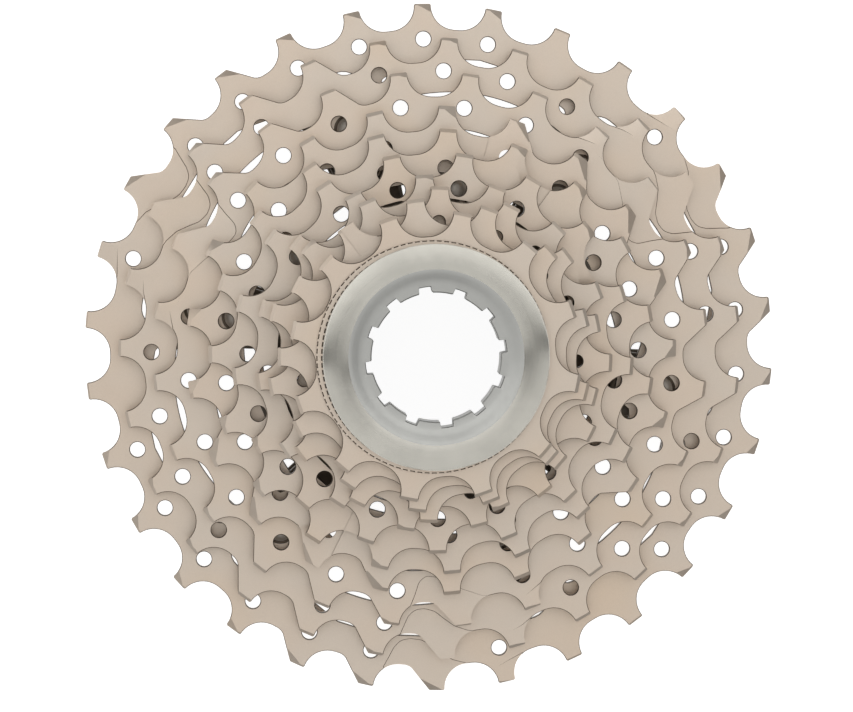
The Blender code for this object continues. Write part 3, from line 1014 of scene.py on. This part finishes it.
def turned_alloy(name, colour, offset):
    """Anodised aluminium with the fine circular grooves of a lathe."""
    material, tree, shader, place = node_tools(name)
    split = tree.nodes.new("ShaderNodeSeparateXYZ")
    tree.links.new(place, split.inputs["Vector"])
    flat = tree.nodes.new("ShaderNodeCombineXYZ")
    tree.links.new(split.outputs["X"], flat.inputs["X"])
    tree.links.new(split.outputs["Y"], flat.inputs["Y"])
    length = tree.nodes.new("ShaderNodeVectorMath")
    length.operation = "LENGTH"
    tree.links.new(flat.outputs["Vector"], length.inputs[0])
    rings = tree.nodes.new("ShaderNodeCombineXYZ")
    tree.links.new(length.outputs["Value"], rings.inputs["X"])
    tree.links.new(split.outputs["Z"], rings.inputs["Y"])
    groove = noise(tree, rings.outputs["Vector"], 9000, 2, offset)
    cloud = noise(tree, place, 130, 3, offset)
    dark = tuple(c * 0.9 for c in colour)
    tint = mixed(tree, ranged(tree, cloud, 0.35, 0.65), dark, colour)
    lines = mixed(tree, ranged(tree, groove, 0.3, 0.7), (0.965, 0.965, 0.97), (1.0, 1.0, 1.0))
    tree.links.new(mixed(tree, 1.0, tint, lines, "MULTIPLY"), shader.inputs["Base Color"])
    shader.inputs["Metallic"].default_value = 1.0
    rough = ranged(tree, groove, 0.3, 0.7, 0.20, 0.24)
    tree.links.new(rough, shader.inputs["Roughness"])
    shader.inputs["Anisotropic"].default_value = 1.0
    shader.inputs["Anisotropic Rotation"].default_value = 0.25
    tangent = tree.nodes.new("ShaderNodeTangent")
    tangent.direction_type = "RADIAL"
    tangent.axis = "Z"
    tree.links.new(tangent.outputs["Tangent"], shader.inputs["Tangent"])
    bumped(tree, shader, groove, 0.00001, 0.05)
    return material


def paint(obj, material, other=None, chosen=None):
    """One material all over, and a second one on the faces that chosen picks."""
    obj.data.materials.clear()
    obj.data.materials.append(material)
    if other:
        obj.data.materials.append(other)
        for face in obj.data.polygons:
            face.material_index = 1 if chosen(face) else 0


def painted_shade_faces(front):
    """Picks the faces that get painted shade: a sprocket's walls and edge bevels, and the floors of
    the bores round its rivets.
    """
    deep = (front - COUNTERBORE_DEPTH * 0.7) * MM

    def chosen(face):
        return abs(face.normal.z) < 0.8 or (face.normal.z > 0.9 and face.center.z < deep)

    return chosen


WASHER_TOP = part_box("lockring_washer")[1].z


# Picks the washer's slot faces, which get painted shade so that the slots read as dark dashes
def is_washer_slot(face):
    x, y, z = face.center
    return math.hypot(x, y) > SLOTS_START * MM and z < WASHER_TOP - 0.05 * MM


def is_funnel(face):
    return math.hypot(face.center.x, face.center.y) < FUNNEL_RADIUS * MM


STEEL_COOL = (0.582, 0.505, 0.426)
STEEL_WARM = (0.597, 0.499, 0.407)
# Painted shade: a dark steel for walls, edge bevels, counterbore floors and washer slots, so they
# read as shaded edges and hollows
WALL_SHADE = (0.13, 0.105, 0.08)
WALL_SHADE_WARM = (0.15, 0.12, 0.09)
STAIN_TINT = (1.04, 0.96, 0.84)
RIVET_GREY = (0.48, 0.44, 0.39)
SPIDER_GREY = (0.13, 0.112, 0.093)
LOCKRING_GREY = (0.53, 0.515, 0.462)
FUNNEL_GREY = (0.41, 0.41, 0.39)
RESIN = (0.035, 0.034, 0.034)

# Painted shade on the sprockets' walls and bevels, the floors of the bores round the rivets and the
# washer's slots
painted_shade = satin_steel("painted_shade_steel", WALL_SHADE, WALL_SHADE_WARM, 2.3)
for index, teeth in enumerate(SPROCKETS):
    satin = satin_steel(f"satin_{teeth}", STEEL_COOL, STEEL_WARM, 0.37 * index)
    front = node_span(f"sprocket_{teeth}t")[1]
    paint(sprocket(teeth), satin, painted_shade, painted_shade_faces(front))

alloy = cast_alloy("spider_alloy", SPIDER_GREY, 0.2)
paint(spider_large(), alloy)
paint(spider_mid(), alloy)

resin = moulded_resin("spacer_resin", RESIN, 0.5)
for node, body in (
    ("spacer_17_19", "spacer_17_19"),
    ("spacer_15_17", "spacer_15_17"),
    ("spacer_14_15", "spacer_14_15"),
):
    paint(spacer_ring(node, body), resin)

rivet_steel = cast_alloy("rivet_steel", RIVET_GREY, 0.8)
for base, count, body, flush in (
    ("rivet_30t", 12, "large_unit", True),
    ("rivet_27t", 6, "large_unit", False),
    ("rivet_24t", 6, "large_unit", False),
    ("rivet_21t", 6, "mid_unit", False),
):
    for number in range(1, count + 1):
        paint(rivet(f"{base}_{number}", body, flush), rivet_steel)

washer_steel = satin_steel("washer_steel", STEEL_COOL, STEEL_WARM, 4.1)
# The washer's slots are painted with shade
paint(serrated_washer(), washer_steel, painted_shade, is_washer_slot)
funnel = satin_alloy("lockring_funnel", FUNNEL_GREY, 1.7)
paint(lockring(), turned_alloy("lockring_alloy", LOCKRING_GREY, 1.1), funnel, is_funnel)

# Floor, light and camera, in metres

FLOOR_HALF = 4
FLOOR_GAP = 0.0001
FLOOR_GREY = (0.45, 0.45, 0.45, 1.0)
FLOOR_GLOW = 0.92
WHITE = (1.0, 1.0, 1.0, 1.0)
WORLD_STRENGTH = 0.27

floor_mesh = bpy.data.meshes.new("floor")
corners = [(x * FLOOR_HALF, y * FLOOR_HALF, 0) for x, y in ((-1, -1), (1, -1), (1, 1), (-1, 1))]
floor_mesh.from_pydata(corners, [], [(0, 1, 2, 3)])
floor = linked("floor", floor_mesh)
floor.location.z = cad_bounds[0].z - FLOOR_GAP
floor_paint = bpy.data.materials.new("floor")
floor_paint.use_nodes = True
floor_shader = floor_paint.node_tree.nodes["Principled BSDF"]
floor_shader.inputs["Base Color"].default_value = FLOOR_GREY
floor_shader.inputs["Roughness"].default_value = 0.9
floor_shader.inputs["Specular IOR Level"].default_value = 0.1
floor_shader.inputs["Emission Color"].default_value = WHITE
floor_shader.inputs["Emission Strength"].default_value = FLOOR_GLOW
paint(floor, floor_paint)

world = bpy.data.worlds.new("studio")
world.use_nodes = True
world.node_tree.nodes["Background"].inputs["Color"].default_value = WHITE
world.node_tree.nodes["Background"].inputs["Strength"].default_value = WORLD_STRENGTH
bpy.context.scene.world = world


def softbox(name, centre, width, depth, turn, power):
    """A level soft panel that faces down."""
    light = bpy.data.lights.new(name, "AREA")
    light.shape = "RECTANGLE"
    light.size = width
    light.size_y = depth
    light.energy = power
    obj = linked(name, light)
    obj.location = centre
    obj.rotation_euler.z = math.radians(turn)
    obj.visible_camera = False


# Two panels side by side, with a dark slot between them that the lockring's bands reflect
PANEL_HEIGHT = 1.05
PANEL_TURN = 3.5
PANEL_SLOT = 0.055
PANEL_SIDEWAYS = -0.4
PANEL_WIDTH = 3.4
PANEL_DEPTH = 1.3
for name, side, power in (("upper_bank", 1, 17.0), ("lower_bank", -1, 10.5)):
    away = side * (PANEL_SLOT + PANEL_DEPTH / 2)
    x, y = turned((PANEL_SIDEWAYS, away), PANEL_TURN)
    softbox(name, (x, y, PANEL_HEIGHT), PANEL_WIDTH, PANEL_DEPTH, PANEL_TURN, power)

CAMERA_PLACE = Vector((-0.0284, 0.0374, 0.8873))
CAMERA_AIM = Vector((-0.0005, -0.0014, 0.0026))
CAMERA_LENS = 209.6
camera = bpy.data.cameras.new("camera")
camera.sensor_width = 36.0
camera.lens = CAMERA_LENS
camera.clip_start, camera.clip_end = 0.05, 20.0
camera_object = linked("camera", camera)
back = (CAMERA_PLACE - CAMERA_AIM).normalized()
right = Vector((0, 1, 0)).cross(back).normalized()
up = back.cross(right)
camera_object.matrix_world = Matrix((
    (right.x, up.x, back.x, CAMERA_PLACE.x),
    (right.y, up.y, back.y, CAMERA_PLACE.y),
    (right.z, up.z, back.z, CAMERA_PLACE.z),
    (0, 0, 0, 1),
))
bpy.context.scene.camera = camera_object
bpy.context.scene.view_settings.view_transform = "Standard"
